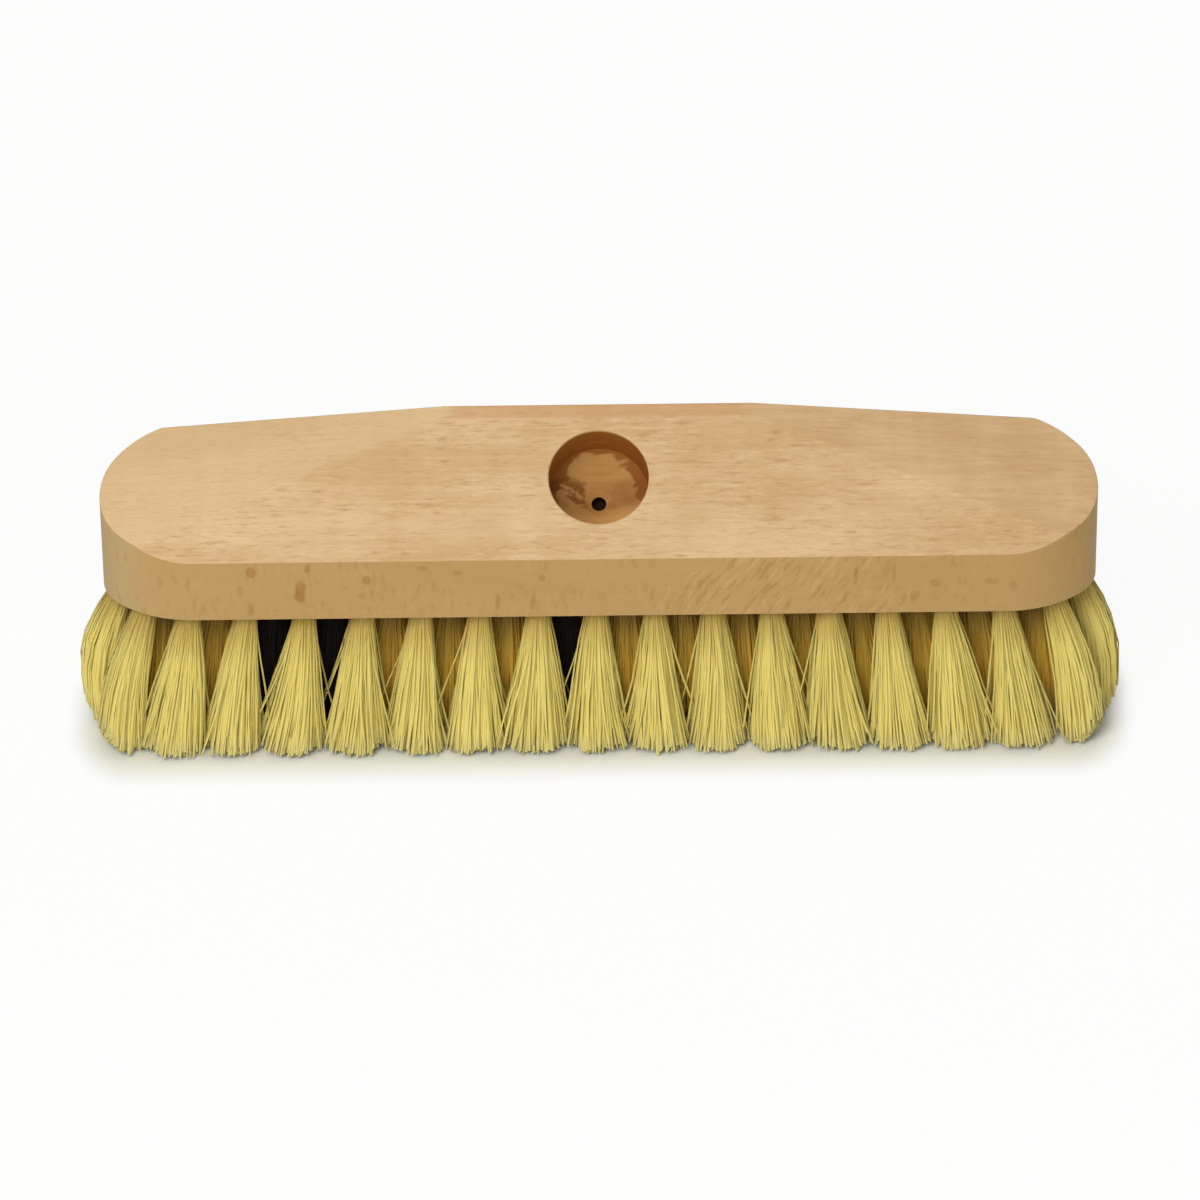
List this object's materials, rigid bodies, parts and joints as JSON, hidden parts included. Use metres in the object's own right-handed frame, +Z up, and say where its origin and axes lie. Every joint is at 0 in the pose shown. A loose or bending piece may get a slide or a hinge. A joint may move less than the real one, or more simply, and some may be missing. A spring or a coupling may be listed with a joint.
{
  "type": "scrub brush",
  "caption": "Wooden scrub brush head with a sloping face, a drilled handle socket, and rows of stiff plant-fibre tufts flared at the tips.",
  "frame": {"origin": "on the floor under the middle of the block, with the brush standing on its bristle tips", "axes": "+X along the block, -Y the way the sloping face and handle socket look, +Z up from the bristle tips to the crest"},
  "size_m": [0.254, 0.0409, 0.0784],
  "materials": {
    "beech": "bare planed and sanded beech with fine ray flecks",
    "pale_fibre": "dry yellow plant fibre, slightly glossy along each strand",
    "dark_fibre": "dark brown-black plant fibre",
    "anchor_wire": "bright drawn flat wire"
  },
  "bodies": {
    "root": {"block": "beech", "anchors_front": "anchor_wire", "anchors_middle": "anchor_wire", "anchors_back": "anchor_wire", "anchors_left": "anchor_wire", "anchors_right": "anchor_wire", "tuft_front_01": "pale_fibre", "tuft_front_02": "pale_fibre", "tuft_front_03": "pale_fibre", "tuft_front_04": "pale_fibre", "tuft_front_05": "pale_fibre", "tuft_front_06": "pale_fibre", "tuft_front_07": "pale_fibre", "tuft_front_08": "pale_fibre", "tuft_front_09": "pale_fibre", "tuft_front_10": "pale_fibre", "tuft_front_11": "pale_fibre", "tuft_front_12": "pale_fibre", "tuft_front_13": "pale_fibre", "tuft_front_14": "pale_fibre", "tuft_front_15": "pale_fibre", "tuft_middle_01": "pale_fibre", "tuft_middle_02": "dark_fibre", "tuft_middle_03": "dark_fibre", "tuft_middle_04": "pale_fibre", "tuft_middle_05": "pale_fibre", "tuft_middle_06": "pale_fibre", "tuft_middle_07": "dark_fibre", "tuft_middle_08": "pale_fibre", "tuft_middle_09": "pale_fibre", "tuft_middle_10": "pale_fibre", "tuft_middle_11": "pale_fibre", "tuft_middle_12": "pale_fibre", "tuft_middle_13": "pale_fibre", "tuft_middle_14": "pale_fibre", "tuft_back_01": "pale_fibre", "tuft_back_02": "pale_fibre", "tuft_back_03": "pale_fibre", "tuft_back_04": "pale_fibre", "tuft_back_05": "pale_fibre", "tuft_back_06": "pale_fibre", "tuft_back_07": "pale_fibre", "tuft_back_08": "pale_fibre", "tuft_back_09": "pale_fibre", "tuft_back_10": "pale_fibre", "tuft_back_11": "pale_fibre", "tuft_back_12": "pale_fibre", "tuft_back_13": "pale_fibre", "tuft_back_14": "pale_fibre", "tuft_back_15": "pale_fibre", "tuft_left_01": "pale_fibre", "tuft_left_02": "pale_fibre", "tuft_left_03": "pale_fibre", "tuft_left_04": "pale_fibre", "tuft_right_01": "pale_fibre", "tuft_right_02": "pale_fibre", "tuft_right_03": "pale_fibre", "tuft_right_04": "pale_fibre"}
  },
  "joints": []
}
